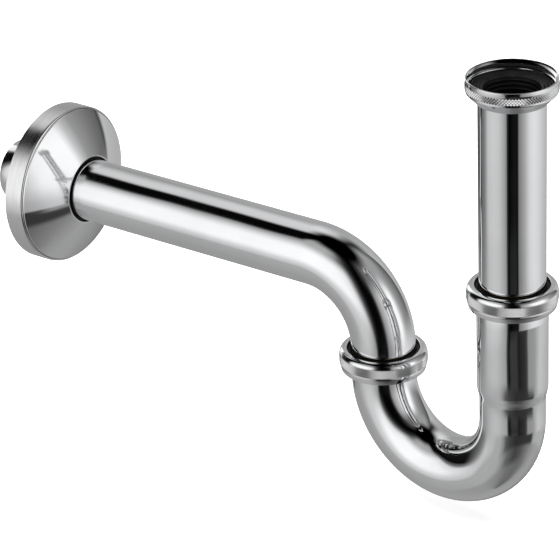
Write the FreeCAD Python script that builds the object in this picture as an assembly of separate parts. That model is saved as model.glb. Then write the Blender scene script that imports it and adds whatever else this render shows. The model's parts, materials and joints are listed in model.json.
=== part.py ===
"""Chromed brass P trap for a basin waste, in millimetres.

The outlet pipe runs along +X from the wall, turns down through an elbow and
plugs into a U-bend.  The U-bend rises again into a long socket that takes the
inlet tube.  Two slip nuts squeeze rubber seals round the plugged-in tubes, a
union nut at the top screws to the basin waste, and a wall rosette rides on the
outlet pipe.  The origin is the centre of the outlet pipe's end, +Z is up.
"""
import FreeCAD, Part
import os

from FreeCAD import Vector

# ---- driving dimensions ------------------------------------------------------
TUBE_R = 16.0            # outside radius of the outlet pipe, U-bend and inlet tube
WALL = 0.85              # brass tube wall
BEND_R = 40.0            # centre-line radius of the elbow and of the U-bend
SLIDE_GAP = 0.3          # radial gap between a plugged-in tube and its socket
SEAL_GAP = 0.05          # radial gap between a rubber ring and the tube it hugs

# outlet pipe
SPIGOT_LENGTH = 25.0     # plain end that enters the wall pipe
GROOVE_WIDTH = 0.8       # shallow insertion-depth ring at the end of the spigot
GROOVE_DEPTH = 0.25
RUN_LENGTH = 190.0       # straight run from the open end to the elbow
TAIL_LENGTH = 10.7       # straight tail below the elbow

# U-bend
U_DROP = 53.5            # outlet axis down to the level of the U-bend's centre
U_TURN = -5.0            # degrees the U-bend is swung round the tail, seen from above
OUTLET_SOCKET_FOOT = 2.0     # cone from tube to socket on the outlet leg
INLET_STEP_LOW = 11.0    # formed step on the inlet leg, above the U-bend's centre
INLET_STEP_HIGH = 18.0

# slip nuts, heights above the underside of the nut
LOWER_NUT_BASE = -51.6
UPPER_NUT_BASE = 6.5
NUT_HEIGHT = 11.3
NUT_R = 21.9             # over the knurled band
NUT_SKIRT_R = 21.0
NUT_BORE_R = 20.2
NUT_MOUTH_R = 18.0
NUT_CEILING = 9.4        # underside of the rolled-in top
KNURL_LOW = 3.0
KNURL_HIGH = 8.3
FERRULE_R = 19.9         # threaded ring brazed round each socket
FERRULE_LOW = 0.8
FERRULE_HIGH = 5.5
SEAL_LOW = 5.6
SEAL_HIGH = 8.0
RING_LOW = 8.1
RING_HIGH = 9.3
RUBBER_R = 19.6          # outside of the seals and slip rings

# inlet tube and union nut
INLET_INSERTION = 32.0   # length of inlet tube inside the socket
UNION_RIM = 122.5        # mouth of the union nut above the outlet axis
UNION_HEIGHT = 11.5
UNION_R = 21.9
UNION_BORE_R = 21.0      # plain cylinder at the major diameter of a G 1 1/4 thread
UNION_BORE_LENGTH = 4.9
UNION_HOLE_R = 16.4
UNION_CONE_HEIGHT = 4.6
FLARE_R = 17.7
FLARE_LOW = 2.8          # flare and washer heights above the underside of the nut
FLARE_HIGH = 4.0
WASHER_STEP = 5.3
WASHER_HIGH = 6.4
WASHER_NECK_R = 18.8
WASHER_R = 20.4
WASHER_HOLE_R = 13.4     # through the collar that hangs inside the tube
WASHER_COLLAR_R = 15.1
WASHER_COLLAR = 7.0      # length of the collar below the flare's top

# wall rosette
ROSETTE_R = 41.0
ROSETTE_BACK = SPIGOT_LENGTH
ROSETTE_BAND = 10.5      # width of the cylindrical rim
ROSETTE_SHEET = 0.9
ROSETTE_STEP = 1.4       # the bell's foot stands this far inside the rim
CONE_MID_R = 28.9        # the bell swells slightly between its foot and the neck
CONE_MID_X = 42.8
NECK_FRONT = 48.2        # room-side end of the neck
NECK_BACK = 43.0
NECK_R = 17.2            # hole in the neck
GRIP_FRONT = 46.6
GRIP_BACK = 44.0

# ---- positions worked out from them ------------------------------------------
LEG_X = RUN_LENGTH + BEND_R
LEG_SPACING = 2 * BEND_R
INLET_X = LEG_X + LEG_SPACING
SOCKET_BORE_R = TUBE_R + SLIDE_GAP
SOCKET_R = SOCKET_BORE_R + WALL
BORE_R = TUBE_R - WALL
UP = Vector(0, 0, 1)
ALONG = Vector(1, 0, 0)
ACROSS = Vector(0, 1, 0)


def turned(points, axis=UP):
    """Solid of revolution.  A point is (radius, height); (radius, height,
    radius, height) is an arc through the first pair that ends at the second."""
    edges = []
    here = Vector(points[0][0], 0, points[0][1])
    for point in points[1:] + [points[0]]:
        end = Vector(point[-2], 0, point[-1])
        if len(point) == 4:
            middle = Vector(point[0], 0, point[1])
            edges.append(Part.Arc(here, middle, end).toShape())
        else:
            edges.append(Part.makeLine(here, end))
        here = end
    solid = Part.Face(Part.Wire(edges)).revolve(Vector(0, 0, 0), UP, 360)
    solid.Placement = FreeCAD.Placement(Vector(0, 0, 0), FreeCAD.Rotation(UP, axis))
    return solid


def ring(inner_r, outer_r, low, high):
    return turned([(inner_r, low), (outer_r, low), (outer_r, high), (inner_r, high)])


def bend(radius, centre, start, axis, angle):
    """Round bar of the given radius, swept about an axis from a start point."""
    outward = start - centre
    disc = Part.Face(Part.Wire(Part.makeCircle(radius, start, outward.cross(axis))))
    return disc.revolve(centre, axis, angle)


def joined(shapes):
    return shapes[0].fuse(shapes[1:]).removeSplitter()


def on_inlet(shape):
    """Move a shape from the Z axis to the axis of the inlet leg."""
    shape.translate(Vector(INLET_X, 0, 0))
    shape.rotate(Vector(LEG_X, 0, 0), UP, U_TURN)
    return shape


def on_leg(shape):
    """Move a shape from the Z axis to the axis of the outlet leg."""
    shape.translate(Vector(LEG_X, 0, 0))
    return shape


# ---- outlet pipe ---------------------------------------------------------------
def outlet_bar(radius):
    centre = Vector(RUN_LENGTH, 0, -BEND_R)
    run = Part.makeCylinder(radius, RUN_LENGTH, Vector(0, 0, 0), ALONG)
    elbow = bend(radius, centre, Vector(RUN_LENGTH, 0, 0), ACROSS, 90)
    tail = Part.makeCylinder(radius, TAIL_LENGTH, Vector(LEG_X, 0, -BEND_R), -UP)
    return joined([run, elbow, tail])


def outlet_tube():
    tube = outlet_bar(TUBE_R).cut(outlet_bar(BORE_R))
    groove_r = TUBE_R - GROOVE_DEPTH
    start = Vector(SPIGOT_LENGTH, 0, 0)
    groove = Part.makeCylinder(TUBE_R + 1, GROOVE_WIDTH, start, ALONG)
    return tube.cut(groove.cut(Part.makeCylinder(groove_r, GROOVE_WIDTH, start, ALONG)))


# ---- U-bend --------------------------------------------------------------------
def u_bar(radius, socket_radius):
    """Bar through the U-bend: expanded leg, half turn, then the long socket."""
    centre = Vector(LEG_X + BEND_R, 0, -U_DROP)
    half_turn = bend(radius, centre, Vector(LEG_X, 0, -U_DROP), -ACROSS, 180)
    foot = -U_DROP + OUTLET_SOCKET_FOOT
    outlet_top = LOWER_NUT_BASE + FERRULE_HIGH
    outlet_leg = turned([(0, -U_DROP), (radius, -U_DROP), (socket_radius, foot),
                         (socket_radius, outlet_top), (0, outlet_top)])
    step_low = -U_DROP + INLET_STEP_LOW
    step_high = -U_DROP + INLET_STEP_HIGH
    inlet_top = UPPER_NUT_BASE + FERRULE_HIGH
    inlet_leg = turned([(0, -U_DROP), (radius, -U_DROP), (radius, step_low),
                        (socket_radius, step_high), (socket_radius, inlet_top),
                        (0, inlet_top)])
    outlet_leg.translate(Vector(LEG_X, 0, 0))
    inlet_leg.translate(Vector(INLET_X, 0, 0))
    return joined([half_turn, outlet_leg, inlet_leg])


def u_bend():
    tube = u_bar(TUBE_R, SOCKET_R).cut(u_bar(BORE_R, SOCKET_BORE_R))
    tube.rotate(Vector(LEG_X, 0, 0), UP, U_TURN)
    return tube


# ---- slip joint: ferrule, seal, ring and nut -------------------------------------
def ferrule(base):
    return ring(SOCKET_R, FERRULE_R, base + FERRULE_LOW, base + FERRULE_HIGH)


def slip_seal(base):
    bevel = 0.6
    inner = TUBE_R + SEAL_GAP
    low = base + SEAL_LOW
    high = base + SEAL_HIGH
    return turned([(inner, low), (RUBBER_R - bevel, low), (RUBBER_R, low + bevel),
                   (RUBBER_R, high), (inner, high)])


def slip_ring(base):
    return ring(TUBE_R + SLIDE_GAP + 0.1, RUBBER_R, base + RING_LOW, base + RING_HIGH)


def slip_nut(base):
    """Pressed nut: skirt, knurled band and a domed top rolled in to the mouth."""
    top = base + NUT_HEIGHT
    knurl_low = base + KNURL_LOW
    knurl_high = base + KNURL_HIGH
    ceiling = base + NUT_CEILING
    lip_r = NUT_MOUTH_R + 0.6
    return turned([(NUT_BORE_R, base), (NUT_SKIRT_R, base), (NUT_R - 0.3, knurl_low),
                   (NUT_R, knurl_low), (NUT_R, knurl_high), (NUT_R - 0.3, knurl_high),
                   (NUT_R - 0.9, top - 0.7, lip_r + 0.4, top),
                   (NUT_MOUTH_R, top - 0.4), (NUT_MOUTH_R, ceiling), (NUT_BORE_R, ceiling)])


# ---- inlet tube, washer and union nut ---------------------------------------------
def inlet_tube():
    base = UNION_RIM - UNION_HEIGHT
    low = UPPER_NUT_BASE + FERRULE_HIGH - INLET_INSERTION
    flare_low = base + FLARE_LOW
    flare_high = base + FLARE_HIGH
    return turned([(BORE_R, low), (TUBE_R, low), (TUBE_R, flare_low), (FLARE_R, flare_low),
                   (FLARE_R, flare_high), (BORE_R, flare_high)])


def inlet_washer():
    """Rubber washer on the flare: a ridged sealing face above, and a collar
    that hangs inside the tube."""
    base = UNION_RIM - UNION_HEIGHT
    low = base + FLARE_HIGH
    collar_low = low - WASHER_COLLAR
    step = base + WASHER_STEP
    face = base + WASHER_HIGH - 0.3
    crest = base + WASHER_HIGH
    points = [(WASHER_HOLE_R, collar_low), (WASHER_COLLAR_R, collar_low),
              (WASHER_COLLAR_R, low), (WASHER_NECK_R, low), (WASHER_NECK_R, step),
              (WASHER_R, step), (WASHER_R, face)]
    ridges = 4
    pitch = (WASHER_R - WASHER_HOLE_R) / (ridges + 0.5)
    for index in range(ridges):
        crest_r = WASHER_R - (index + 0.75) * pitch
        points += [(crest_r + 0.35, face), (crest_r, crest), (crest_r - 0.35, face)]
    points.append((WASHER_HOLE_R, face))
    return turned(points)


def union_nut():
    """Knurled nut with a conical underside that hooks below the tube's flare."""
    base = UNION_RIM - UNION_HEIGHT
    shoulder = base + UNION_CONE_HEIGHT
    bore_low = UNION_RIM - UNION_BORE_LENGTH
    knurl_low = shoulder + 0.6
    knurl_high = knurl_low + 3.9
    return turned([(UNION_HOLE_R, base), (UNION_HOLE_R + 0.9, base), (UNION_R - 0.3, shoulder),
                   (UNION_R - 0.3, knurl_low), (UNION_R, knurl_low), (UNION_R, knurl_high),
                   (UNION_R - 0.3, knurl_high), (UNION_R - 0.3, UNION_RIM - 0.3),
                   (UNION_R - 0.6, UNION_RIM), (UNION_BORE_R, UNION_RIM),
                   (UNION_BORE_R, bore_low), (UNION_BORE_R - 0.25, bore_low),
                   (UNION_BORE_R - 0.25, base + 5.4), (UNION_HOLE_R, base + 1.0)])


# ---- wall rosette -------------------------------------------------------------------
def rosette():
    """Spun sheet cover: rim band, step, slightly domed cone and turned-in neck."""
    rim = ROSETTE_R
    front = ROSETTE_BACK + ROSETTE_BAND
    sheet = ROSETTE_SHEET
    foot_r = rim - ROSETTE_STEP
    foot_x = front + 0.9
    inside = [(rim - sheet, ROSETTE_BACK), (rim - sheet, front - 0.7), (foot_r - 0.6, foot_x - 0.7),
              (CONE_MID_R - 0.4, CONE_MID_X - 0.8, NECK_R + sheet, NECK_FRONT - 1.1),
              (NECK_R + sheet, NECK_BACK)]
    outside = [(NECK_R, NECK_BACK), (NECK_R, NECK_FRONT - 0.4), (NECK_R + 0.5, NECK_FRONT),
               (CONE_MID_R, CONE_MID_X, foot_r, foot_x), (rim - 0.9, front + 0.3), (rim, front - 0.6),
               (rim, ROSETTE_BACK)]
    return turned(inside + outside, axis=ALONG)


def grip_ring():
    grip = turned([(TUBE_R + SEAL_GAP, GRIP_BACK), (NECK_R - 0.1, GRIP_BACK),
                   (NECK_R - 0.1, GRIP_FRONT), (TUBE_R + SEAL_GAP, GRIP_FRONT)], axis=ALONG)
    return grip


PARTS = {
    "outlet_tube": outlet_tube(),
    "wall_rosette": rosette(),
    "rosette_grip_ring": grip_ring(),
    "u_bend": u_bend(),
    "outlet_ferrule": on_leg(ferrule(LOWER_NUT_BASE)),
    "lower_seal": on_leg(slip_seal(LOWER_NUT_BASE)),
    "lower_slip_ring": on_leg(slip_ring(LOWER_NUT_BASE)),
    "lower_slip_nut": on_leg(slip_nut(LOWER_NUT_BASE)),
    "inlet_ferrule": on_inlet(ferrule(UPPER_NUT_BASE)),
    "upper_seal": on_inlet(slip_seal(UPPER_NUT_BASE)),
    "upper_slip_ring": on_inlet(slip_ring(UPPER_NUT_BASE)),
    "upper_slip_nut": on_inlet(slip_nut(UPPER_NUT_BASE)),
    "inlet_tube": on_inlet(inlet_tube()),
    "inlet_washer": on_inlet(inlet_washer()),
    "union_nut": on_inlet(union_nut()),
}

os.makedirs("parts", exist_ok=True)
for node, shape in PARTS.items():
    assert shape.isValid() and len(shape.Solids) == 1, node
    shape.exportStep("parts/" + node + ".step")
    box = shape.BoundBox
    print(f"{node:18s} x {box.XMin:7.2f}..{box.XMax:7.2f}  y {box.YMin:7.2f}..{box.YMax:6.2f}"
          f"  z {box.ZMin:8.2f}..{box.ZMax:7.2f}  {shape.Volume / 1000:7.2f} cm3")
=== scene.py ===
# %% [markdown]
# # A chromed P trap
#
# This notebook dresses the finished design of a basin trap. The design gives every
# piece its place and its joint; here each visible piece gets a smooth skin, its
# knurls, threads and rolled edges, and a finish that behaves like real chrome,
# bare brass, rubber or plastic. Lengths are in metres, +X runs along the wall
# pipe into the room and +Z points up.

# %% Load the design
import json
import math

import bpy
from mathutils import Matrix, Vector

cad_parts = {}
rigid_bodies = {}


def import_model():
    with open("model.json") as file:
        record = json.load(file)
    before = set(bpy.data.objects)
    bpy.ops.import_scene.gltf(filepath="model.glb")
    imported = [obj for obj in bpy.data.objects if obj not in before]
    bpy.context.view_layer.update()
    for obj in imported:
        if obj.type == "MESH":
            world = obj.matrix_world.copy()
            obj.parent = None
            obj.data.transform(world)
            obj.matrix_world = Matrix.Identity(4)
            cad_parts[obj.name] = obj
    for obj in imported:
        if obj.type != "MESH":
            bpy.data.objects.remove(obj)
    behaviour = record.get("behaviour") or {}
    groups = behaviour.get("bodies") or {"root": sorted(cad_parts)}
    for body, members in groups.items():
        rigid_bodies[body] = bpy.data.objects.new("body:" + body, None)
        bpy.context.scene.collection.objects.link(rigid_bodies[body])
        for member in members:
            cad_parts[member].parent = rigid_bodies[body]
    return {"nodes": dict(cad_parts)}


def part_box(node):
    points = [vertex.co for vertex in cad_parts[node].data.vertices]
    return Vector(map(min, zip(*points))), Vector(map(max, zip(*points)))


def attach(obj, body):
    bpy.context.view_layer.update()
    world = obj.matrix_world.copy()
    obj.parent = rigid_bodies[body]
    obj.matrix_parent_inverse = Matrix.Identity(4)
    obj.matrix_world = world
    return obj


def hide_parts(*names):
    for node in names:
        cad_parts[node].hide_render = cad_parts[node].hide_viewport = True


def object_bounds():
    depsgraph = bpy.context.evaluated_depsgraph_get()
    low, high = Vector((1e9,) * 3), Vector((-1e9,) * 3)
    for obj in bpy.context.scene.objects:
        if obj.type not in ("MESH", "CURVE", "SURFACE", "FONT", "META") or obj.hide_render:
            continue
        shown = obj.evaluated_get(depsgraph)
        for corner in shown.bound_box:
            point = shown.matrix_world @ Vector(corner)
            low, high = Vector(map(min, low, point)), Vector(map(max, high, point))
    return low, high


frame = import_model()
design_box = [list(corner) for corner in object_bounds()]
print("design box", design_box)

# %% [markdown]
# ## Sizes
#
# The tubes are 32 mm brass with a thin wall, and both bends have a 40 mm
# centre-line radius. Heights and places are read from the design's own boxes, so
# a skin can never drift from the piece that it covers.

# %% Sizes read from the design
MM = 0.001
TUBE_R = 16.0 * MM
WALL = 0.85 * MM
BEND_R = 40.0 * MM
SWING = math.radians(-5.0)       # the U-bend is swung round the elbow's tail
MERGE = 0.001 * MM               # corners nearer than this are one corner

outlet_low, outlet_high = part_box("outlet_tube")
leg_x = outlet_high[0] - TUBE_R
run_end = leg_x - BEND_R
leg_axis = Vector((leg_x, 0, 0))
inlet_axis = leg_axis + Matrix.Rotation(SWING, 3, "Z") @ Vector((2 * BEND_R, 0, 0))
print("outlet leg at", tuple(leg_axis), "inlet leg at", tuple(inlet_axis))

# %% [markdown]
# ## Tools for turned and bent metal
#
# Nearly everything here was made on a lathe, a press or a tube bender. A turned
# piece is an outline spun round an axis. A bent tube is a circle that is
# extruded along the straight parts and spun round the centre of each bend, as
# the bender does it, and is then given its wall.


# %% Starting and finishing a piece
def deselect_all():
    if bpy.context.object and bpy.context.object.mode != "OBJECT":
        bpy.ops.object.mode_set(mode="OBJECT")
    bpy.ops.object.select_all(action="DESELECT")


def only(piece):
    deselect_all()
    piece.select_set(True)
    bpy.context.view_layer.objects.active = piece


def apply_modifiers(piece):
    only(piece)
    for modifier in list(piece.modifiers):
        bpy.ops.object.modifier_apply(modifier=modifier.name)


def settle(piece, name, sharp_angle):
    """Place the piece's mesh, leave its object at the origin and shade it."""
    piece.name = name
    piece.data.name = name
    only(piece)
    bpy.ops.object.transform_apply(location=True, rotation=True, scale=True)
    bpy.ops.object.shade_smooth_by_angle(angle=math.radians(sharp_angle))
    print(name, len(piece.data.polygons), "faces")
    return piece


# %% Arcs and outlines
def arc(centre, radius, start, end, steps):
    """Points (radius, height) along an arc, angles in degrees."""
    points = []
    for index in range(steps + 1):
        angle = math.radians(start + (end - start) * index / steps)
        points.append((centre[0] + radius * math.cos(angle),
                       centre[1] + radius * math.sin(angle)))
    return points


def straight(radius, low, high, steps):
    """Evenly spaced points up a straight side."""
    return [(radius, low + (high - low) * k / steps) for k in range(steps + 1)]


def turned(name, outline, axis_at, segments, sharp_angle=30):
    """Spin a closed outline of (radius, height) points round an upright axis."""
    deselect_all()
    bpy.ops.mesh.primitive_circle_add(vertices=3, radius=MM, location=(0, 0, 0))
    piece = bpy.context.object
    bpy.ops.object.mode_set(mode="EDIT")
    bpy.ops.mesh.select_mode(type="VERT")
    bpy.ops.mesh.select_all(action="SELECT")
    bpy.ops.mesh.merge(type="CENTER")
    first = Vector((outline[0][0], 0, outline[0][1]))
    bpy.ops.transform.translate(value=first)
    here = first
    for radius, height in outline[1:] + outline[:1]:
        there = Vector((radius, 0, height))
        bpy.ops.mesh.extrude_vertices_move(TRANSFORM_OT_translate={"value": there - here})
        here = there
    bpy.ops.mesh.select_all(action="SELECT")
    bpy.ops.mesh.remove_doubles(threshold=MERGE)
    bpy.ops.mesh.spin(steps=segments, angle=2 * math.pi, center=(0, 0, 0), axis=(0, 0, 1))
    bpy.ops.mesh.select_all(action="SELECT")
    bpy.ops.mesh.remove_doubles(threshold=MERGE)
    bpy.ops.mesh.normals_make_consistent(inside=False)
    bpy.ops.object.mode_set(mode="OBJECT")
    piece.location = (axis_at[0], axis_at[1], 0)
    return settle(piece, name, sharp_angle)


# %% Bending a tube
TUBE_SIDES = 128
RINGS_PER_DEGREE = 0.8
TUBE_EDGE = 0.2 * MM


class Bender:
    """A circle of tube that is pushed and bent, one step after another."""

    def __init__(self, start, facing, radius):
        deselect_all()
        turn = Vector((0, 0, 1)).rotation_difference(Vector(facing)).to_euler()
        bpy.ops.mesh.primitive_circle_add(vertices=TUBE_SIDES, radius=radius,
                                          location=start, rotation=turn)
        self.piece = bpy.context.object
        bpy.ops.object.transform_apply(location=True, rotation=True, scale=True)
        self.centre = Vector(start)
        self.facing = Vector(facing)
        self.radius = radius
        bpy.ops.object.mode_set(mode="EDIT")
        bpy.ops.mesh.select_mode(type="VERT")
        bpy.ops.mesh.select_all(action="SELECT")

    def push(self, length, radius=None):
        """Extrude straight on, to another radius where the tube is formed."""
        move = self.facing * length
        bpy.ops.mesh.extrude_edges_move(TRANSFORM_OT_translate={"value": move})
        self.centre = self.centre + move
        if radius is not None and radius != self.radius:
            scale = radius / self.radius
            bpy.ops.transform.resize(value=(scale, scale, scale), center_override=self.centre)
            self.radius = radius

    def bend(self, centre, axis, degrees):
        """Spin the open end round the bend's centre. The operator turns the other way."""
        angle = math.radians(degrees)
        rings = round(degrees * RINGS_PER_DEGREE)
        bpy.ops.mesh.spin(steps=rings, angle=-angle, center=centre, axis=axis)
        turn = Matrix.Rotation(angle, 3, Vector(axis))
        self.centre = Vector(centre) + turn @ (self.centre - Vector(centre))
        self.facing = turn @ self.facing

    def finish(self, name):
        """Clean the skin, give it its wall inwards and break the end edges."""
        bpy.ops.mesh.select_all(action="SELECT")
        bpy.ops.mesh.remove_doubles(threshold=MERGE)
        bpy.ops.mesh.normals_make_consistent(inside=False)
        bpy.ops.object.mode_set(mode="OBJECT")
        solid = self.piece.modifiers.new("wall", "SOLIDIFY")
        solid.thickness = WALL
        solid.offset = -1
        solid.use_even_offset = True
        soften = self.piece.modifiers.new("edge", "BEVEL")
        soften.width = TUBE_EDGE
        soften.segments = 2
        soften.limit_method = "ANGLE"
        soften.angle_limit = math.radians(50)
        apply_modifiers(self.piece)
        return settle(self.piece, name, 40)


# %% [markdown]
# ## The wall pipe
#
# One tube runs from the wall to the basin, turns down and ends in a short tail.
# It starts as a circle at the wall end. A shallow ring near that end marks how
# deep it goes into the wall socket, and sits inside the rosette.

# %% Bend the wall pipe
SPIGOT = 25.0 * MM
GROOVE_WIDTH = 0.8 * MM
GROOVE_SIDE = 0.15 * MM
GROOVE_DEPTH = 0.25 * MM
RUN_RINGS = 8
tail = outlet_high[2] - TUBE_R - BEND_R - outlet_low[2]

pipe = Bender((0, 0, 0), (1, 0, 0), TUBE_R)
pipe.push(SPIGOT)
pipe.push(GROOVE_SIDE, TUBE_R - GROOVE_DEPTH)
pipe.push(GROOVE_WIDTH - 2 * GROOVE_SIDE)
pipe.push(GROOVE_SIDE, TUBE_R)
for _ in range(RUN_RINGS):
    pipe.push((run_end - SPIGOT - GROOVE_WIDTH) / RUN_RINGS)
pipe.bend((run_end, 0, -BEND_R), (0, 1, 0), 90)
pipe.push(tail)
outlet_skin = pipe.finish("outlet_tube_skin")
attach(outlet_skin, "outlet_pipe")
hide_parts("outlet_tube")

# %% [markdown]
# ## The U-bend
#
# The U-bend is a second tube. Its outlet leg is opened a little to take the
# tail, and its inlet leg is opened into a long socket for the inlet tube. The
# press leaves a soft step where the socket starts.

# %% Bend the U
u_low, u_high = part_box("u_bend")
ferrule_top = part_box("outlet_ferrule")[1][2]
u_level = u_low[2] + TUBE_R + BEND_R     # where both legs leave the bend
SOCKET_GAP = 0.3 * MM
SOCKET_R = TUBE_R + SOCKET_GAP + WALL
SOCKET_FOOT = 2.0 * MM
STEP_LOW = 11.0 * MM
STEP_HIGH = 18.0 * MM
STEP_RINGS = 10
LEG_RINGS = 4

u_tube = Bender((leg_x, 0, ferrule_top), (0, 0, -1), SOCKET_R)
u_tube.push(ferrule_top - u_level - SOCKET_FOOT)
u_tube.push(SOCKET_FOOT, TUBE_R)
u_tube.bend((leg_x + BEND_R, 0, u_level), (0, -1, 0), 180)
u_tube.push(STEP_LOW)
for index in range(STEP_RINGS):
    rise = (index + 1) / STEP_RINGS
    swell = rise * rise * (3 - 2 * rise)
    u_tube.push((STEP_HIGH - STEP_LOW) / STEP_RINGS, TUBE_R + (SOCKET_R - TUBE_R) * swell)
for _ in range(LEG_RINGS):
    u_tube.push((u_high[2] - u_level - STEP_HIGH) / LEG_RINGS)
u_skin = u_tube.finish("u_bend_skin")
u_skin.matrix_world = (Matrix.Translation(leg_axis) @ Matrix.Rotation(SWING, 4, "Z")
                       @ Matrix.Translation(-leg_axis))
settle(u_skin, "u_bend_skin", 40)
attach(u_skin, "u_bend")
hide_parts("u_bend")

# %% [markdown]
# ## The inlet tube
#
# A straight tube with its top rolled out into a flare, which the union nut
# hooks under.

# %% Roll the inlet tube
inlet_low, inlet_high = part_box("inlet_tube")
FLARE_R = 17.7 * MM
FLARE = 1.2 * MM
INLET_SIDES = 160
foot = inlet_low[2]
flare_low = inlet_high[2] - FLARE

inlet_outline = ([(TUBE_R - WALL + 0.1 * MM, foot), (TUBE_R - 0.15 * MM, foot),
                  (TUBE_R, foot + 0.2 * MM)]
                 + straight(TUBE_R, foot, flare_low, 6)[1:-1]
                 + [(TUBE_R, flare_low - 0.3 * MM), (TUBE_R + 0.3 * MM, flare_low),
                    (FLARE_R - 0.3 * MM, flare_low), (FLARE_R, flare_low + 0.3 * MM),
                    (FLARE_R, inlet_high[2]), (TUBE_R - WALL, inlet_high[2]),
                    (TUBE_R - WALL, foot + 0.1 * MM)])
inlet_skin = turned("inlet_tube_skin", inlet_outline, inlet_axis, INLET_SIDES)
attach(inlet_skin, "inlet_tube")
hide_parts("inlet_tube")

# %% [markdown]
# ## Knurls
#
# A diamond knurl is cut by two crossing sets of slanting grooves. On a grid of
# small faces the same pattern appears when every second corner of a
# chequerboard is pulled outwards and each face is split between its low corners:
# that leaves small flat-sided pyramids, which glint one by one.


# %% Raise a diamond knurl
NUT_R = 21.9 * MM
NUT_SIDES = 190
NUT_SHARP = 24                   # degrees
KNURL_DEPTH = 0.38 * MM
KNURL_R = NUT_R - KNURL_DEPTH    # at the foot of the diamonds
BESIDE_R = NUT_R - 0.35 * MM     # the plain ring on each side of a knurl


def knurl(nut, axis_at, low, high, rows):
    """Pull every second corner of the band's grid out, and split it into pyramids."""
    only(nut)
    spacing = (high - low) / rows
    for vertex in nut.data.vertices:
        x = vertex.co.x - axis_at[0]
        y = vertex.co.y - axis_at[1]
        between = low + 0.5 * spacing < vertex.co.z < high - 0.5 * spacing
        on_band = between and abs(math.hypot(x, y) - KNURL_R) < 0.05 * MM
        row = round((vertex.co.z - low) / spacing)
        column = round(math.atan2(y, x) / (2 * math.pi) * NUT_SIDES)
        vertex.select = on_band and (row + column) % 2 == 0
    for part in (*nut.data.edges, *nut.data.polygons):
        part.select = False
    bpy.ops.object.mode_set(mode="EDIT")
    bpy.ops.mesh.select_mode(type="VERT")
    scale = 1 + KNURL_DEPTH / KNURL_R
    bpy.ops.transform.resize(value=(scale, scale, 1),
                             center_override=(axis_at[0], axis_at[1], (low + high) / 2))
    bpy.ops.mesh.select_more()
    bpy.ops.mesh.quads_convert_to_tris(quad_method="SHORTEST_DIAGONAL")
    bpy.ops.object.mode_set(mode="OBJECT")
    bpy.ops.object.shade_smooth_by_angle(angle=math.radians(NUT_SHARP))


# %% [markdown]
# ## The slip nuts
#
# Each slip nut is pressed from sheet: a skirt with the thread inside, a knurled
# band, and a polished top that is rolled over and in to a thin bright lip. The
# mouth is wider than the tube, so a black ring shows round the tube.

# %% Turn the slip nuts
NUT_MOUTH_R = 18.0 * MM
NUT_BORE_R = 20.2 * MM
NUT_HEIGHT = 11.3 * MM
SKIRT_R = 21.0 * MM
SKIRT_EDGE = 0.25 * MM
SLIP_KNURL_LOW = 3.2 * MM        # above the nut's foot
SLIP_KNURL_HIGH = 8.3 * MM
SLIP_KNURL_ROWS = 7
ROLL_R = 2.75 * MM               # the rolled-over shoulder
LIP_R = 0.42 * MM                # the thin lip round the mouth


def slip_nut(name, base, axis_at):
    top = base + NUT_HEIGHT
    knurl_low = base + SLIP_KNURL_LOW
    knurl_high = base + SLIP_KNURL_HIGH
    inner_top = base + 9.4 * MM
    skirt = [(NUT_BORE_R, base + 0.3 * MM), (NUT_BORE_R + SKIRT_EDGE, base),
             (SKIRT_R - SKIRT_EDGE, base), (SKIRT_R, base + SKIRT_EDGE),
             (SKIRT_R + 0.35 * MM, base + 1.6 * MM), (BESIDE_R, base + 2.6 * MM),
             (BESIDE_R, knurl_low - 0.25 * MM)]
    roll = arc((NUT_R - 3.0 * MM, top - 3.05 * MM), ROLL_R, 4, 96, 14)
    lip = arc((NUT_MOUTH_R + LIP_R, top - 0.72 * MM), LIP_R, 90, 200, 7)
    bore = [(NUT_MOUTH_R + 0.05 * MM, inner_top + 0.1 * MM), (NUT_MOUTH_R + 0.3 * MM, inner_top),
            (NUT_BORE_R, inner_top), (NUT_BORE_R, base + 6.0 * MM), (NUT_BORE_R, base + 3.0 * MM)]
    outline = skirt + straight(KNURL_R, knurl_low, knurl_high, SLIP_KNURL_ROWS) + roll + lip + bore
    nut = turned(name, outline, axis_at, NUT_SIDES, NUT_SHARP)
    knurl(nut, axis_at, knurl_low, knurl_high, SLIP_KNURL_ROWS)
    return nut


lower_nut_low, lower_nut_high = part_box("lower_slip_nut")
upper_nut_low, upper_nut_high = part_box("upper_slip_nut")
lower_nut = slip_nut("lower_slip_nut_skin", lower_nut_low[2], leg_axis)
upper_nut = slip_nut("upper_slip_nut_skin", upper_nut_low[2], inlet_axis)
for nut, node in ((lower_nut, "lower_slip_nut"), (upper_nut, "upper_slip_nut")):
    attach(nut, node)
    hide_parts(node)

# %% [markdown]
# ## The union nut
#
# The nut at the top screws to the basin waste. It has a plain polished band
# under its mouth, the knurl below that, and a cone that runs in to the tube.

# %% Turn the union nut
union_low, union_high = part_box("union_nut")
UNION_BORE_R = 21.0 * MM
UNION_HOLE_R = 16.4 * MM
UNION_EDGE = 0.4 * MM            # rounding of the mouth's outer edge
UNION_KNURL_ROWS = 5
THREAD_ROOM = 4.9 * MM           # from the mouth down to the end of the thread's bore
base = union_low[2]
rim = union_high[2]
cone_top = base + 4.6 * MM
union_knurl_low = cone_top + 0.8 * MM
union_knurl_high = union_knurl_low + 3.6 * MM

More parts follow.
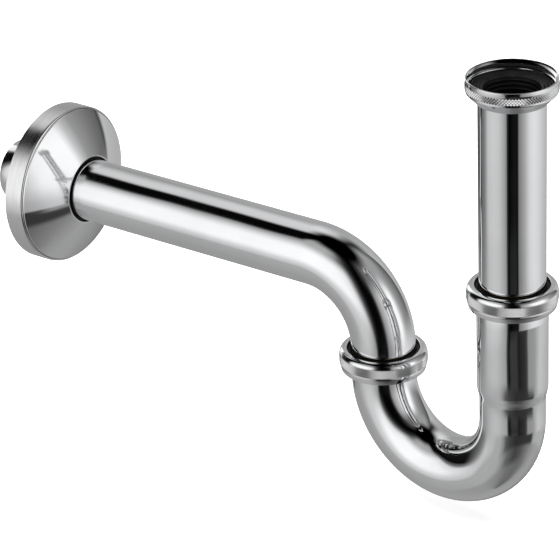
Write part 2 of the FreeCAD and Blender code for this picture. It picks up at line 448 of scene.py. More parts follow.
cone = [(UNION_HOLE_R, base + 0.9 * MM), (UNION_HOLE_R, base + 0.3 * MM),
        (UNION_HOLE_R + 0.3 * MM, base), (UNION_HOLE_R + 0.9 * MM, base + 0.05 * MM),
        (UNION_HOLE_R + 2.8 * MM, base + 2.2 * MM), (NUT_R - 0.8 * MM, cone_top - 0.5 * MM),
        (NUT_R - 0.4 * MM, cone_top), (BESIDE_R, union_knurl_low - 0.3 * MM)]
plain_band = ([(BESIDE_R, union_knurl_high + 0.25 * MM), (BESIDE_R, rim - 1.2 * MM)]
              + arc((BESIDE_R - UNION_EDGE, rim - UNION_EDGE), UNION_EDGE, 0, 90, 6))
bore = [(UNION_BORE_R, rim - 0.15 * MM), (UNION_BORE_R, rim - 2.4 * MM),
        (UNION_BORE_R, rim - THREAD_ROOM), (UNION_BORE_R - 0.25 * MM, rim - THREAD_ROOM),
        (UNION_BORE_R - 0.25 * MM, base + 5.4 * MM)]
union_outline = (cone + straight(KNURL_R, union_knurl_low, union_knurl_high, UNION_KNURL_ROWS)
                 + plain_band + bore)
union = turned("union_nut_skin", union_outline, inlet_axis, NUT_SIDES, NUT_SHARP)
knurl(union, inlet_axis, union_knurl_low, union_knurl_high, UNION_KNURL_ROWS)
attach(union, "union_nut")
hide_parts("union_nut")

# %% [markdown]
# ## The union's thread
#
# A pipe thread climbs 2.309 mm a turn. One rib of it is a small closed outline,
# and the Screw modifier carries that outline round the bore and up.

# %% Cut the union's thread
THREAD_PITCH = 2.309 * MM
THREAD_DEPTH = 1.1 * MM
THREAD_TURNS = 1.55
THREAD_STEPS = 144               # in one turn
thread_low = rim - 4.7 * MM


def thread_rib(name):
    deselect_all()
    bpy.ops.mesh.primitive_circle_add(vertices=6, radius=MM, location=(0, 0, 0))
    rib = bpy.context.object
    root = UNION_BORE_R + 0.08 * MM
    crest = UNION_BORE_R - THREAD_DEPTH
    section = [(root, -0.85), (crest + 0.12 * MM, -0.24), (crest, -0.14),
               (crest, 0.14), (crest + 0.12 * MM, 0.24), (root, 0.85)]
    for vertex, (radius, height) in zip(rib.data.vertices, section):
        vertex.co = (radius, 0, height * MM)
    screw = rib.modifiers.new("climb", "SCREW")
    screw.axis = "Z"
    screw.angle = 2 * math.pi * THREAD_TURNS
    screw.screw_offset = THREAD_PITCH * THREAD_TURNS
    screw.steps = int(THREAD_STEPS * THREAD_TURNS)
    screw.render_steps = screw.steps
    screw.use_merge_vertices = False
    apply_modifiers(rib)
    bpy.ops.object.mode_set(mode="EDIT")
    bpy.ops.mesh.select_all(action="DESELECT")
    bpy.ops.mesh.select_mode(type="EDGE")
    bpy.ops.mesh.select_non_manifold()
    bpy.ops.mesh.edge_face_add()
    bpy.ops.mesh.select_all(action="SELECT")
    bpy.ops.mesh.normals_make_consistent(inside=False)
    bpy.ops.object.mode_set(mode="OBJECT")
    rib.location = (inlet_axis.x, inlet_axis.y, thread_low)
    return settle(rib, name, 30)


thread = thread_rib("union_thread")
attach(thread, "union_nut")

# %% [markdown]
# ## The inlet washer
#
# A moulded rubber washer fills the nut below the thread. Its top carries
# concentric ridges that bite on the basin waste, and its collar hangs inside
# the tube, so the mouth is black all the way down.

# %% Mould the washer
washer_low, washer_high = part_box("inlet_washer")
WASHER_R = 20.4 * MM
WASHER_HOLE_R = 13.4 * MM
COLLAR_R = 15.1 * MM
SEAT_R = 18.8 * MM               # the washer is cut away here, round the flare
RIDGES = 4
RIDGE_R = 0.25 * MM
WASHER_SIDES = 144


def washer_outline(low, high):
    face = high - 0.45 * MM
    seat = high - 2.4 * MM
    outline = [(WASHER_HOLE_R + 0.3 * MM, low), (COLLAR_R - 0.3 * MM, low),
               (COLLAR_R, low + 0.3 * MM), (COLLAR_R, seat), (SEAT_R, seat),
               (SEAT_R, seat + 1.3 * MM), (WASHER_R, seat + 1.3 * MM), (WASHER_R, face)]
    pitch = (WASHER_R - WASHER_HOLE_R) / (RIDGES + 0.5)
    for index in range(RIDGES):
        crest_r = WASHER_R - (index + 0.75) * pitch
        outline += [(crest_r + 0.55 * MM, face)]
        outline += arc((crest_r, high - RIDGE_R), RIDGE_R, 10, 170, 6)
        outline += [(crest_r - 0.55 * MM, face)]
    outline += arc((WASHER_HOLE_R + 0.5 * MM, face - 0.5 * MM), 0.5 * MM, 90, 180, 4)
    for depth in (2.2, 4.4, 6.6):
        ridge = high - depth * MM
        outline += [(WASHER_HOLE_R, ridge + 0.3 * MM), (WASHER_HOLE_R - 0.25 * MM, ridge),
                    (WASHER_HOLE_R, ridge - 0.3 * MM)]
    outline += [(WASHER_HOLE_R, low + 0.3 * MM)]
    return outline


washer = turned("inlet_washer_skin", washer_outline(washer_low[2], washer_high[2]),
                inlet_axis, WASHER_SIDES, 50)
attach(washer, "inlet_tube")
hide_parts("inlet_washer")

# %% [markdown]
# ## The wall rosette
#
# The rosette is spun from sheet: a satin rim band, a tight step, then a
# polished, slightly swelling bell that draws in to the neck. The outline goes up
# the outside and back down the inside, a sheet's thickness away. It is turned
# upright and then laid along the pipe.

# %% Spin the rosette
rosette_low, rosette_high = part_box("wall_rosette")
SHEET = 0.9 * MM
RIM_R = 41.0 * MM
NECK_R = 17.2 * MM
BELL_MID_R = 28.9 * MM
BELL_MID_X = 42.8 * MM
RIM_BAND = 10.5 * MM
RIM_STEP = 1.4 * MM
ROSETTE_SIDES = 256
ROSETTE_SHARP = 24               # degrees
back = rosette_low[0]
band_front = back + RIM_BAND
foot_r = RIM_R - RIM_STEP
foot_x = band_front + 0.9 * MM
neck_x = rosette_high[0]
neck_end = back + 18.0 * MM      # where the turned-in neck stops, inside


def bell(offset, steps):
    """Arc through the foot, the middle and the neck, moved in by an offset."""
    a = Vector((foot_r, foot_x))
    b = Vector((BELL_MID_R, BELL_MID_X))
    c = Vector((NECK_R + 0.5 * MM, neck_x))
    ab, bc = b - a, c - b
    mid_ab, mid_bc = (a + b) / 2, (b + c) / 2
    det = ab.x * bc.y - ab.y * bc.x
    k_ab, k_bc = ab.dot(mid_ab), bc.dot(mid_bc)
    centre = Vector(((k_ab * bc.y - k_bc * ab.y) / det, (ab.x * k_bc - bc.x * k_ab) / det))
    radius = (a - centre).length
    start = math.degrees(math.atan2(a.y - centre.y, a.x - centre.x))
    end = math.degrees(math.atan2(c.y - centre.y, c.x - centre.x))
    return arc(centre, radius - offset, start, end, steps)


outside = ([(RIM_R - 0.1 * MM, back), (RIM_R, back + 0.1 * MM)]
           + straight(RIM_R, back, band_front, 6)[1:-1]
           + arc((RIM_R - 0.9 * MM, band_front - 0.6 * MM), 0.9 * MM, 0, 80, 8)
           + [(foot_r + 0.5 * MM, band_front + 0.2 * MM), (foot_r + 0.22 * MM, band_front - 0.25 * MM),
              (foot_r + 0.06 * MM, foot_x - 0.3 * MM)]
           + bell(0, 40)
           + arc((NECK_R + 0.45 * MM, neck_x - 0.45 * MM), 0.45 * MM, 90, 180, 5)
           + [(NECK_R, neck_x - 2.5 * MM), (NECK_R, neck_end)])
# the inside leaves out the bell's last points, where the neck and the rim take over
inside = ([(NECK_R + SHEET, neck_end)]
          + bell(SHEET, 24)[-4:0:-1]
          + [(RIM_R - 1.9 * MM, band_front - 0.6 * MM), (RIM_R - SHEET, band_front - 1.6 * MM),
             (RIM_R - SHEET, back + 0.1 * MM), (RIM_R - SHEET + 0.1 * MM, back)])
rosette = turned("wall_rosette_skin", outside + inside, (0, 0), ROSETTE_SIDES, ROSETTE_SHARP)
rosette.matrix_world = Matrix.Rotation(math.radians(90), 4, "Y")
settle(rosette, "wall_rosette_skin", ROSETTE_SHARP)
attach(rosette, "rosette")
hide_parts("wall_rosette")

# %% [markdown]
# ## Effects that several finishes share
#
# Plated tube is never perfectly true: the bender and the polishing wheel leave
# long, very shallow waves, and fingers leave faint smears. Satin parts carry
# fine lines round the axis they were turned on. Each effect is a node group, so
# every finish can take it at its own strength.


# %% Helpers for node groups
def new_group(name, inputs, outputs):
    tree = bpy.data.node_groups.new(name, "ShaderNodeTree")
    for label, kind, default in inputs:
        socket = tree.interface.new_socket(name=label, in_out="INPUT", socket_type=kind)
        if default is not None:
            socket.default_value = default
    for label, kind in outputs:
        tree.interface.new_socket(name=label, in_out="OUTPUT", socket_type=kind)
    return tree, tree.nodes.new("NodeGroupInput"), tree.nodes.new("NodeGroupOutput")


def feed(tree, socket, value):
    """Set a socket to a number, or link it to another node's output."""
    if isinstance(value, (int, float)):
        socket.default_value = value
    else:
        tree.links.new(value, socket)


def math_node(tree, operation, first, second=None):
    node = tree.nodes.new("ShaderNodeMath")
    node.operation = operation
    feed(tree, node.inputs[0], first)
    if second is not None:
        feed(tree, node.inputs[1], second)
    return node.outputs[0]


def noise(tree, vector, scale, detail, roughness):
    node = tree.nodes.new("ShaderNodeTexNoise")
    node.inputs["Detail"].default_value = detail
    node.inputs["Roughness"].default_value = roughness
    tree.links.new(vector, node.inputs["Vector"])
    feed(tree, node.inputs["Scale"], scale)
    return node.outputs["Fac"]


def spread(tree, value, low, high, to_low, to_high):
    node = tree.nodes.new("ShaderNodeMapRange")
    node.interpolation_type = "SMOOTHSTEP"
    tree.links.new(value, node.inputs["Value"])
    for label, number in (("From Min", low), ("From Max", high),
                          ("To Min", to_low), ("To Max", to_high)):
        feed(tree, node.inputs[label], number)
    return node.outputs["Result"]


# %% Long shallow waves in polished metal
waves, start, end = new_group(
    "polished_waves",
    [("Vector", "NodeSocketVector", None), ("Scale", "NodeSocketFloat", 14.0),
     ("Fine Scale", "NodeSocketFloat", 420.0), ("Fine Share", "NodeSocketFloat", 0.03)],
    [("Height", "NodeSocketFloat")])
broad = noise(waves, start.outputs["Vector"], start.outputs["Scale"], 1.0, 0.4)
fine = noise(waves, start.outputs["Vector"], start.outputs["Fine Scale"], 2.0, 0.6)
fine_part = math_node(waves, "MULTIPLY", fine, start.outputs["Fine Share"])
waves.links.new(math_node(waves, "ADD", broad, fine_part), end.inputs["Height"])

# %% Smears that dull a polish here and there
smears, start, end = new_group(
    "smears",
    [("Vector", "NodeSocketVector", None), ("Clean", "NodeSocketFloat", 0.03),
     ("Smeared", "NodeSocketFloat", 0.09), ("Scale", "NodeSocketFloat", 24.0)],
    [("Roughness", "NodeSocketFloat"), ("Mask", "NodeSocketFloat")])
cloud = noise(smears, start.outputs["Vector"], start.outputs["Scale"], 4.0, 0.62)
mask = spread(smears, cloud, 0.42, 0.72, 0.0, 1.0)
specks = noise(smears, start.outputs["Vector"], 1400.0, 1.0, 0.5)
speck_mask = spread(smears, specks, 0.7, 0.78, 0.0, 0.12)
both = math_node(smears, "MAXIMUM", mask, speck_mask)
smears.links.new(both, end.inputs["Mask"])
smears.links.new(spread(smears, both, 0.0, 1.0, start.outputs["Clean"], start.outputs["Smeared"]),
                 end.inputs["Roughness"])

# %% Fine lines left by turning or brushing round an axis
turning, start, end = new_group(
    "turning_lines",
    [("Vector", "NodeSocketVector", None), ("Across", "NodeSocketFloat", 4200.0),
     ("Around", "NodeSocketFloat", 3.0)],
    [("Lines", "NodeSocketFloat"), ("Broad", "NodeSocketFloat")])
# the piece's axis comes in as Z, so the lines run round Z
parts_of = turning.nodes.new("ShaderNodeSeparateXYZ")
turning.links.new(start.outputs["Vector"], parts_of.inputs[0])
flat = turning.nodes.new("ShaderNodeCombineXYZ")
turning.links.new(parts_of.outputs["X"], flat.inputs["X"])
turning.links.new(parts_of.outputs["Y"], flat.inputs["Y"])
length = turning.nodes.new("ShaderNodeVectorMath")
length.operation = "LENGTH"
turning.links.new(flat.outputs[0], length.inputs[0])
unit = turning.nodes.new("ShaderNodeVectorMath")
unit.operation = "NORMALIZE"
turning.links.new(flat.outputs[0], unit.inputs[0])
around = turning.nodes.new("ShaderNodeVectorMath")
around.operation = "SCALE"
turning.links.new(unit.outputs[0], around.inputs[0])
turning.links.new(start.outputs["Around"], around.inputs["Scale"])
around_parts = turning.nodes.new("ShaderNodeSeparateXYZ")
turning.links.new(around.outputs[0], around_parts.inputs[0])
travel = math_node(turning, "ADD", parts_of.outputs["Z"], length.outputs["Value"])
travel_scaled = math_node(turning, "MULTIPLY", travel, start.outputs["Across"])
line_space = turning.nodes.new("ShaderNodeCombineXYZ")
turning.links.new(around_parts.outputs["X"], line_space.inputs["X"])
turning.links.new(around_parts.outputs["Y"], line_space.inputs["Y"])
turning.links.new(travel_scaled, line_space.inputs["Z"])
turning.links.new(noise(turning, line_space.outputs[0], 1.0, 3.0, 0.65), end.inputs["Lines"])
broad_space = turning.nodes.new("ShaderNodeVectorMath")
broad_space.operation = "SCALE"
turning.links.new(line_space.outputs[0], broad_space.inputs[0])
broad_space.inputs["Scale"].default_value = 0.22
turning.links.new(noise(turning, broad_space.outputs[0], 1.0, 2.0, 0.5), end.inputs["Broad"])
print("effects:", [g.name for g in (waves, smears, turning)])

# %% [markdown]
# ## Finishes
#
# The tubes and nuts are bright nickel-chrome plate: neutral, fully metallic and
# almost mirror smooth. The knurls and the rosette's rim band are the same plate
# over a rougher surface. Inside the tubes and the slip nuts the brass is bare,
# and the back of the rosette and the ferrules have a dull plate. The seals, the
# washer and the grip ring are black rubber, and the slip rings black plastic.


# %% Starting a finish
def new_finish(name):
    material = bpy.data.materials.new(name)
    material.use_nodes = True
    tree = material.node_tree
    shader = tree.nodes["Principled BSDF"]
    place = tree.nodes.new("ShaderNodeTexCoord")
    return material, tree, shader, place.outputs["Object"]


def use_group(tree, group, vector, **values):
    node = tree.nodes.new("ShaderNodeGroup")
    node.node_tree = group
    tree.links.new(vector, node.inputs["Vector"])
    for label, value in values.items():
        node.inputs[label.replace("_", " ")].default_value = value
    return node


def centred(tree, vector, at, turn):
    """Measure a pattern from a piece's own axis."""
    shift = tree.nodes.new("ShaderNodeVectorMath")
    shift.operation = "SUBTRACT"
    tree.links.new(vector, shift.inputs[0])
    shift.inputs[1].default_value = at
    rotate = tree.nodes.new("ShaderNodeMapping")
    rotate.vector_type = "POINT"
    tree.links.new(shift.outputs[0], rotate.inputs["Vector"])
    rotate.inputs["Rotation"].default_value = turn
    return rotate.outputs[0]


def relief(tree, shader, height, strength, distance):
    bump = tree.nodes.new("ShaderNodeBump")
    bump.inputs["Strength"].default_value = strength
    bump.inputs["Distance"].default_value = distance
    tree.links.new(height, bump.inputs["Height"])
    tree.links.new(bump.outputs["Normal"], shader.inputs["Normal"])


def tint(tree, shader, value, dark, light, low=0.3, high=0.7):
    ramp = tree.nodes.new("ShaderNodeValToRGB")
    ramp.color_ramp.elements[0].position = low
    ramp.color_ramp.elements[0].color = (*dark, 1)
    ramp.color_ramp.elements[1].position = high
    ramp.color_ramp.elements[1].color = (*light, 1)
    tree.links.new(value, ramp.inputs["Fac"])
    tree.links.new(ramp.outputs["Color"], shader.inputs["Base Color"])


# %% Polished chrome
def polished_chrome(name, wave_scale, wave_height, clean, smeared):
    """Waves of a stated height in metres, and a roughness from clean to smeared."""
    material, tree, shader, place = new_finish(name)
    shader.inputs["Metallic"].default_value = 1.0
    marks = use_group(tree, smears, place, Clean=clean, Smeared=smeared, Scale=26.0)
    tree.links.new(marks.outputs["Roughness"], shader.inputs["Roughness"])
    tint(tree, shader, marks.outputs["Mask"], (0.885, 0.89, 0.9), (0.85, 0.855, 0.865), 0, 1)
    surface = use_group(tree, waves, place, Scale=wave_scale, Fine_Scale=520.0, Fine_Share=0.0006)
    relief(tree, shader, surface.outputs["Height"], 1.0, wave_height)
    return material


tube_chrome = polished_chrome("tube_chrome", 16.0, 0.0009, 0.065, 0.1)
inlet_chrome = polished_chrome("inlet_tube_chrome", 16.0, 0.0005, 0.025, 0.05)
bent_chrome = polished_chrome("bent_tube_chrome", 26.0, 0.0011, 0.04, 0.075)
nut_chrome = polished_chrome("nut_chrome", 60.0, 0.0002, 0.025, 0.06)
bell_chrome = polished_chrome("rosette_chrome", 18.0, 0.0003, 0.065, 0.1)


# %% Satin chrome on the knurls and on the rosette's band
BAND_COLOUR = (0.9, 0.9, 0.905)
KNURL_COLOUR = (0.88, 0.88, 0.885)
UPRIGHT = (0, 0, 0)
LAID = (0, math.radians(-90), 0)     # for a piece whose axis is the wall pipe's


def satin_chrome(name, at, turn, roughness, lines, across, colour):
    """Lines of a stated height in metres, so many across a metre, round an axis."""
    material, tree, shader, place = new_finish(name)
    shader.inputs["Metallic"].default_value = 1.0
    own = centred(tree, place, at, turn)
    cut = use_group(tree, turning, own, Across=across, Around=3.0)
    rough = spread(tree, cut.outputs["Broad"], 0.25, 0.75, roughness - 0.05, roughness + 0.07)
    tree.links.new(rough, shader.inputs["Roughness"])
    darker = tuple(c * 0.82 for c in colour)
    tint(tree, shader, cut.outputs["Lines"], darker, colour)
    relief(tree, shader, cut.outputs["Lines"], 0.6, lines)
    return material


band_satin = satin_chrome("rosette_band_satin", (0, 0, 0), LAID, 0.2, 0.00004, 5200.0, BAND_COLOUR)
lower_knurl = satin_chrome("lower_knurl_satin", tuple(leg_axis), UPRIGHT, 0.14, 0.00001, 2600.0,
                           KNURL_COLOUR)
upper_knurl = satin_chrome("upper_knurl_satin", tuple(inlet_axis), UPRIGHT, 0.14, 0.00001, 2600.0,
                           KNURL_COLOUR)


# %% Bare brass in the bores, and dull plate where no one looks
BRASS_DARK = (0.2, 0.13, 0.06)
BRASS_LIGHT = (0.42, 0.3, 0.16)


def bare_brass(name, at, turn, roughness):
    material, tree, shader, place = new_finish(name)
    shader.inputs["Metallic"].default_value = 1.0
    own = centred(tree, place, at, turn)
    cut = use_group(tree, turning, own, Across=3000.0, Around=2.0)
    stain = noise(tree, place, 60.0, 5.0, 0.6)
    tint(tree, shader, stain, BRASS_DARK, BRASS_LIGHT)
    rough = spread(tree, stain, 0.3, 0.7, roughness + 0.12, roughness)
    tree.links.new(rough, shader.inputs["Roughness"])
    relief(tree, shader, cut.outputs["Lines"], 0.5, 0.00003)
    return material


bore_brass = bare_brass("bare_bore", (0, 0, 0), LAID, 0.4)
rosette_inside = satin_chrome("rosette_inside_plate", (0, 0, 0), LAID, 0.36, 0.00005, 2400.0,
                              (0.6, 0.57, 0.52))
ferrule_plate = satin_chrome("plated_ferrule", tuple(leg_axis), UPRIGHT, 0.25, 0.00003, 3000.0,
                             (0.7, 0.69, 0.67))


# %% Black rubber and black plastic
def moulded_black(name, colour, roughness, grain, height):
    material, tree, shader, place = new_finish(name)
    shader.inputs["Specular IOR Level"].default_value = 0.22
    specks = noise(tree, place, grain, 4.0, 0.7)
    bloom = noise(tree, place, 90.0, 3.0, 0.6)
    tint(tree, shader, bloom, colour, tuple(c * 1.8 + 0.004 for c in colour))
    rough = spread(tree, bloom, 0.3, 0.7, roughness - 0.08, roughness + 0.08)
    tree.links.new(rough, shader.inputs["Roughness"])
    relief(tree, shader, specks, 0.5, height)
    return material


rubber = moulded_black("black_rubber", (0.002, 0.002, 0.0022), 0.5, 1800.0, 0.00002)
plastic = moulded_black("black_plastic", (0.003, 0.003, 0.0035), 0.5, 2600.0, 0.00001)
print("finishes:", [m.name for m in bpy.data.materials if m.use_nodes])


# %% Put the finishes on
def give(piece, *materials):
    piece.data.materials.clear()
    for material in materials:
        piece.data.materials.append(material)


def cover(piece, slot, chosen):
    """Turn the faces that the test chooses to another of the piece's finishes."""
    faces = [face for face in piece.data.polygons if chosen(face)]
    for face in faces:
        face.material_index = slot
    print(piece.name, len(faces), "faces in", piece.data.materials[slot].name)


def from_axis(point, axis_at):
    return math.hypot(point.x - axis_at[0], point.y - axis_at[1])


# %% Inside the tubes: nearer the centre line than the middle of the wall
def pipe_inside(face):
    point = face.center
    if point.x <= run_end:
        radius = math.hypot(point.y, point.z)
    elif point.z >= -BEND_R:
        out = math.hypot(point.x - run_end, point.z + BEND_R) - BEND_R
        radius = math.hypot(out, point.y)
    else:
        radius = from_axis(point, leg_axis)
    return radius < TUBE_R - 0.5 * WALL


def u_inside(face):
    """Measured in the plane that the U was bent in."""
    height = face.center.z
    local = Matrix.Rotation(-SWING, 3, "Z") @ (face.center - leg_axis)
    if height < u_level:
        out = math.hypot(local.x - BEND_R, local.z - u_level) - BEND_R
        return math.hypot(out, local.y) < TUBE_R - 0.5 * WALL
    radius = min(math.hypot(local.x, local.y), math.hypot(local.x - 2 * BEND_R, local.y))
    wide = height > u_level + STEP_HIGH or (local.x < BEND_R and height > u_level + SOCKET_FOOT)
    return radius < (SOCKET_R if wide else TUBE_R) - 0.5 * WALL


def inlet_inside(face):
    return from_axis(face.center, inlet_axis) < TUBE_R - 0.5 * WALL


for skin, chrome, inside_test in ((outlet_skin, tube_chrome, pipe_inside),
                                  (u_skin, bent_chrome, u_inside),
                                  (inlet_skin, inlet_chrome, inlet_inside)):
    give(skin, chrome, bore_brass)
    cover(skin, 1, inside_test)


# %% The nuts: polish, a satin knurl and a bare bore
def cover_knurl(nut, axis_at, low, high):
    def on_knurl(face):
        outside_face = from_axis(face.center, axis_at) > NUT_R - 0.6 * MM
        return outside_face and low - 0.05 * MM < face.center.z < high + 0.05 * MM

    cover(nut, 1, on_knurl)


def cover_bore(nut, axis_at, top):
    def in_bore(face):
        return from_axis(face.center, axis_at) < NUT_BORE_R + 0.02 * MM and face.center.z < top

    cover(nut, 2, in_bore)


for nut, axis_at, satin, low, high in (
        (lower_nut, leg_axis, lower_knurl, lower_nut_low[2], lower_nut_high[2]),
        (upper_nut, inlet_axis, upper_knurl, upper_nut_low[2], upper_nut_high[2])):
    give(nut, nut_chrome, satin, bore_brass)
    cover_knurl(nut, axis_at, low + SLIP_KNURL_LOW, low + SLIP_KNURL_HIGH)
    cover_bore(nut, axis_at, high - 0.75 * MM)
give(union, nut_chrome, upper_knurl)
cover_knurl(union, inlet_axis, union_knurl_low, union_knurl_high)
give(thread, nut_chrome)


# %% The rosette's band and back, and the black pieces
def on_rim(face):
    return math.hypot(face.center.y, face.center.z) > RIM_R - 0.25 * MM


def on_back(face):
    out = Vector((0, face.center.y, face.center.z)).normalized()
    return face.normal.x < -0.1 or face.normal.dot(out) < -0.5


give(rosette, bell_chrome, band_satin, rosette_inside)
cover(rosette, 1, on_rim)
cover(rosette, 2, on_back)
give(washer, rubber)
for node, finish in (("lower_seal", rubber), ("upper_seal", rubber), ("rosette_grip_ring", rubber),
                     ("lower_slip_ring", plastic), ("upper_slip_ring", plastic),
                     ("outlet_ferrule", ferrule_plate), ("inlet_ferrule", ferrule_plate)):
    give(frame["nodes"][node], finish)

# %% [markdown]
# ## The studio
#
# Chrome shows its surroundings, so the studio matters more than the metal. It is
# a bright tent with a dark gap where the camera stands, a few black strips that
# draw the edges, and an open, dark top. It is painted on the sky by direction,
# so it adds no noise, and the floor that is seen stays plain and pale.

# %% Camera
CAMERA_TURN = math.radians(37.04)
CAMERA_RISE = math.radians(25.91)
CAMERA_ROLL = math.radians(-2.03)
CAMERA_DISTANCE = 1.6795
CAMERA_LENS = 216.5              # millimetres, on a 36 mm sensor
aim = Vector((0.16787, 0.0, -0.02082))
back_way = Vector((math.sin(CAMERA_TURN) * math.cos(CAMERA_RISE),
                   -math.cos(CAMERA_TURN) * math.cos(CAMERA_RISE), math.sin(CAMERA_RISE)))
right_way = Vector((0, 0, 1)).cross(back_way).normalized()
up_way = back_way.cross(right_way)
rolled_right = right_way * math.cos(CAMERA_ROLL) + up_way * math.sin(CAMERA_ROLL)
rolled_up = up_way * math.cos(CAMERA_ROLL) - right_way * math.sin(CAMERA_ROLL)
camera = bpy.data.objects.new("camera", bpy.data.cameras.new("camera"))
bpy.context.scene.collection.objects.link(camera)
camera.matrix_world = Matrix.Translation(aim + back_way * CAMERA_DISTANCE) @ Matrix(
    (rolled_right, rolled_up, back_way)).transposed().to_4x4()
camera.data.sensor_width = 36
camera.data.lens = CAMERA_LENS
camera.data.clip_end = 20
bpy.context.scene.camera = camera
print("camera at", tuple(round(c, 3) for c in camera.location))

# %% The floor, low enough for the U-bend pulled down by 8 mm
FLOOR_GAP = 9.0 * MM
FLOOR_SIZE = 8.0
deselect_all()
bpy.ops.mesh.primitive_plane_add(size=FLOOR_SIZE, location=(0.17, 0, design_box[0][2] - FLOOR_GAP))
floor = bpy.context.object
floor.name = "studio_floor"
floor.visible_glossy = False
floor_paint, tree, shader, place = new_finish("studio_floor_paint")
shade = noise(tree, place, 3.0, 2.0, 0.5)
tint(tree, shader, shade, (0.84, 0.84, 0.84), (0.86, 0.86, 0.86))
shader.inputs["Roughness"].default_value = 0.9
shader.inputs["Emission Color"].default_value = (1, 1, 1, 1)
shader.inputs["Emission Strength"].default_value = 0.6
give(floor, floor_paint)

# %% The sky that the chrome sees
world = bpy.data.worlds.new("studio")
bpy.context.scene.world = world
world.use_nodes = True
sky = world.node_tree
sky.nodes.clear()
direction = sky.nodes.new("ShaderNodeTexCoord").outputs["Generated"]
face_camera = sky.nodes.new("ShaderNodeVectorRotate")
face_camera.rotation_type = "Z_AXIS"
face_camera.inputs["Angle"].default_value = -CAMERA_TURN
sky.links.new(direction, face_camera.inputs["Vector"])
split = sky.nodes.new("ShaderNodeSeparateXYZ")
sky.links.new(face_camera.outputs[0], split.inputs[0])
# sideways is 0.5 towards the camera, grows to the camera's right and wraps behind the trap
backwards = math_node(sky, "MULTIPLY", split.outputs["Y"], -1.0)
round_angle = math_node(sky, "ARCTAN2", split.outputs["X"], backwards)
turned_by = math_node(sky, "MULTIPLY", round_angle, 1 / (2 * math.pi))
sideways = math_node(sky, "ADD", turned_by, 0.5)
# upwards is in degrees above the horizon
height_angle = math_node(sky, "ARCSINE", split.outputs["Z"])
upwards = math_node(sky, "MULTIPLY", height_angle, 180 / math.pi)


def panels(stops):
    """Brightness round the studio, from listed (degrees, brightness) marks."""
    ramp = sky.nodes.new("ShaderNodeValToRGB")
    ramp.color_ramp.interpolation = "LINEAR"
    elements = ramp.color_ramp.elements
    elements.remove(elements[1])
    for index, (degrees, level) in enumerate(stops):
        position = (degrees + 180) / 360
        mark = elements.new(position) if index else elements[0]
        mark.position = position
        mark.color = (level, level, level, 1)
    sky.links.new(sideways, ramp.inputs["Fac"])
    return ramp.outputs["Color"]


def mix(first, second, factor):
    node = sky.nodes.new("ShaderNodeMix")
    node.data_type = "RGBA"
    sky.links.new(factor, node.inputs["Factor"])
    sky.links.new(first, node.inputs[6])
    sky.links.new(second, node.inputs[7])
    return node.outputs[2]


def stack(below, above, start, end):
    """One row under another, changing over from start to end degrees of height."""
    return mix(below, above, spread(sky, upwards, start, end, 0.0, 1.0))


# seven rows of the tent, from the roof's edge down to the ground
high_row = panels([
    (-180, 0.78), (-160, 0.7), (-143, 0.66), (-136, 0.4), (-130, 0.012), (-125, 0.002),
    (-97, 0.002), (-93, 0.03), (-90, 0.25), (-82, 0.42), (-55, 0.46), (-42, 0.34),
    (-32, 0.12), (-22, 0.02), (-10, 0.001), (0, 0.002), (14, 0.05), (28, 0.16), (48, 0.2),
    (68, 0.34), (95, 0.36), (117, 0.36), (127, 0.2), (137, 0.03), (143, 0.04), (152, 0.25),
    (163, 0.58), (180, 0.78)])
wall_row = panels([
    (-180, 0.34), (-158, 0.4), (-156.5, 1.15), (-138, 1.15), (-135, 0.5), (-130, 0.16),
    (-126, 0.01), (-103, 0.003), (-97, 0.2), (-93, 0.75), (-83, 1.0), (-65, 1.12),
    (-45, 1.08), (-33, 0.88), (-28, 0.5), (-22, 0.1), (-15, 0.012), (-8, 0.001),
    (8, 0.002), (13, 0.03), (20, 0.34), (35, 0.62), (44, 1.0), (54, 1.1), (77, 1.1),
    (87, 0.6), (97, 0.34), (117, 0.2), (129, 0.13), (131.5, 0.01), (134.5, 0.55), (160, 0.4)])
edge_row = panels([
    (-180, 0.5), (-172, 0.3), (-160, 0.08), (-140, 0.06), (-131, 0.12), (-118, 0.17),
    (-110, 0.22), (-102, 0.34), (-94, 0.55), (-85, 0.62), (-70, 0.66), (-50, 0.62),
    (-37, 0.48), (-27, 0.34), (-23, 0.22), (-20.5, 0.02), (-14, 0.001), (4, 0.008),
    (14, 0.006), (18, 0.22), (27, 0.31), (40, 0.46), (50, 0.65), (60, 0.78), (75, 0.82),
    (95, 0.74), (115, 0.62), (140, 0.5), (160, 0.46), (180, 0.5)])
table_row = panels([
    (-180, 0.5), (-160, 0.55), (-152, 0.3), (-146, 0.09), (-137, 0.12), (-130, 0.3),
    (-110, 0.345), (-95, 0.43), (-85, 0.49), (-70, 0.54), (-55, 0.535), (-45, 0.48),
    (-32, 0.41), (-25, 0.36), (-21, 0.05), (-15, 0.003), (-9, 0.045), (8, 0.045),
    (15, 0.012), (21, 0.02), (34, 0.03), (42, 0.06), (48, 0.3), (66, 0.33), (73, 0.37),
    (80, 0.47), (92, 0.6), (112, 0.53), (145, 0.43), (180, 0.5)])
near_row = panels([
    (-180, 0.32), (-115, 0.36), (-70, 0.44), (-48, 0.42), (-38, 0.3), (-28, 0.1),
    (-15, 0.055), (5, 0.03), (30, 0.035), (60, 0.045), (66, 0.06), (73, 0.36), (85, 0.46),
    (125, 0.46), (150, 0.3), (172, 0.2), (180, 0.32)])
low_row = panels([
    (-180, 0.32), (-115, 0.36), (-65, 0.43), (-45, 0.42), (-32, 0.3), (-20, 0.15),
    (-5, 0.09), (8, 0.06), (28, 0.09), (45, 0.16), (58, 0.22), (74, 0.3), (90, 0.35),
    (105, 0.38), (140, 0.32), (165, 0.25), (180, 0.32)])
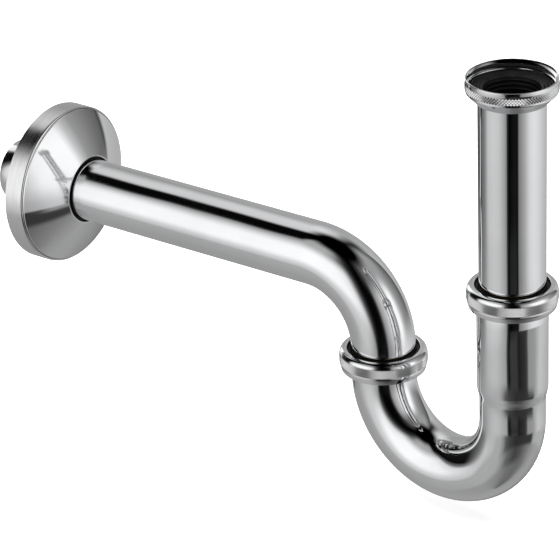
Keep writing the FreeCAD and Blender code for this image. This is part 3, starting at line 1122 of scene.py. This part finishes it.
under_row = panels([
    (-180, 0.38), (-60, 0.33), (-30, 0.26), (-5, 0.18), (30, 0.15), (50, 0.17), (65, 0.22),
    (78, 0.3), (100, 0.35), (180, 0.38)])
# the table ends in a crisp edge on the camera's right and fades out on its left
crisp = panels([(-180, 0), (8, 0), (16, 1), (95, 1), (110, 0), (180, 0)])

walls = stack(edge_row, wall_row, -25.0, -2.0)
upper = stack(walls, high_row, 22.0, 50.0)
roof = spread(sky, upwards, 54.0, 72.0, 1.0, 0.0)
darkened = sky.nodes.new("ShaderNodeVectorMath")
darkened.operation = "SCALE"
sky.links.new(upper, darkened.inputs[0])
sky.links.new(roof, darkened.inputs["Scale"])
ground = stack(under_row, low_row, -62.0, -50.0)
nearer = stack(ground, near_row, -43.0, -37.0)
table = stack(nearer, table_row, -31.5, -28.6)
soft_edge = stack(table, darkened.outputs[0], -29.0, -24.0)
crisp_edge = stack(table, darkened.outputs[0], -26.6, -26.2)
studio_light = mix(soft_edge, crisp_edge, crisp)

plain = sky.nodes.new("ShaderNodeBackground")
plain.inputs["Color"].default_value = (0.97, 0.97, 0.97, 1)
painted = sky.nodes.new("ShaderNodeBackground")
sky.links.new(studio_light, painted.inputs["Color"])
choose = sky.nodes.new("ShaderNodeMixShader")
sky.links.new(sky.nodes.new("ShaderNodeLightPath").outputs["Is Camera Ray"], choose.inputs[0])
sky.links.new(painted.outputs[0], choose.inputs[1])
sky.links.new(plain.outputs[0], choose.inputs[2])
sky.links.new(choose.outputs[0], sky.nodes.new("ShaderNodeOutputWorld").inputs["Surface"])


# %% Soft lamps for the floor and the rubber
def lamp(name, place, target, size, watts):
    light = bpy.data.lights.new(name, "AREA")
    light.shape = "DISK"
    light.size = size
    light.energy = watts
    holder = bpy.data.objects.new(name, light)
    bpy.context.scene.collection.objects.link(holder)
    holder.location = place
    holder.rotation_euler = (Vector(target) - Vector(place)).to_track_quat("-Z", "Y").to_euler()
    holder.visible_glossy = False


lamp("overhead", (0.2, -0.2, 1.8), (0.17, 0, -0.1), 2.4, 62)
lamp("left_fill", (-1.4, -1.4, 1.0), (0.17, 0, 0), 1.2, 12)
bpy.context.scene.view_settings.view_transform = "Standard"

# %% Show the design box and finish
print("design box  ", design_box)
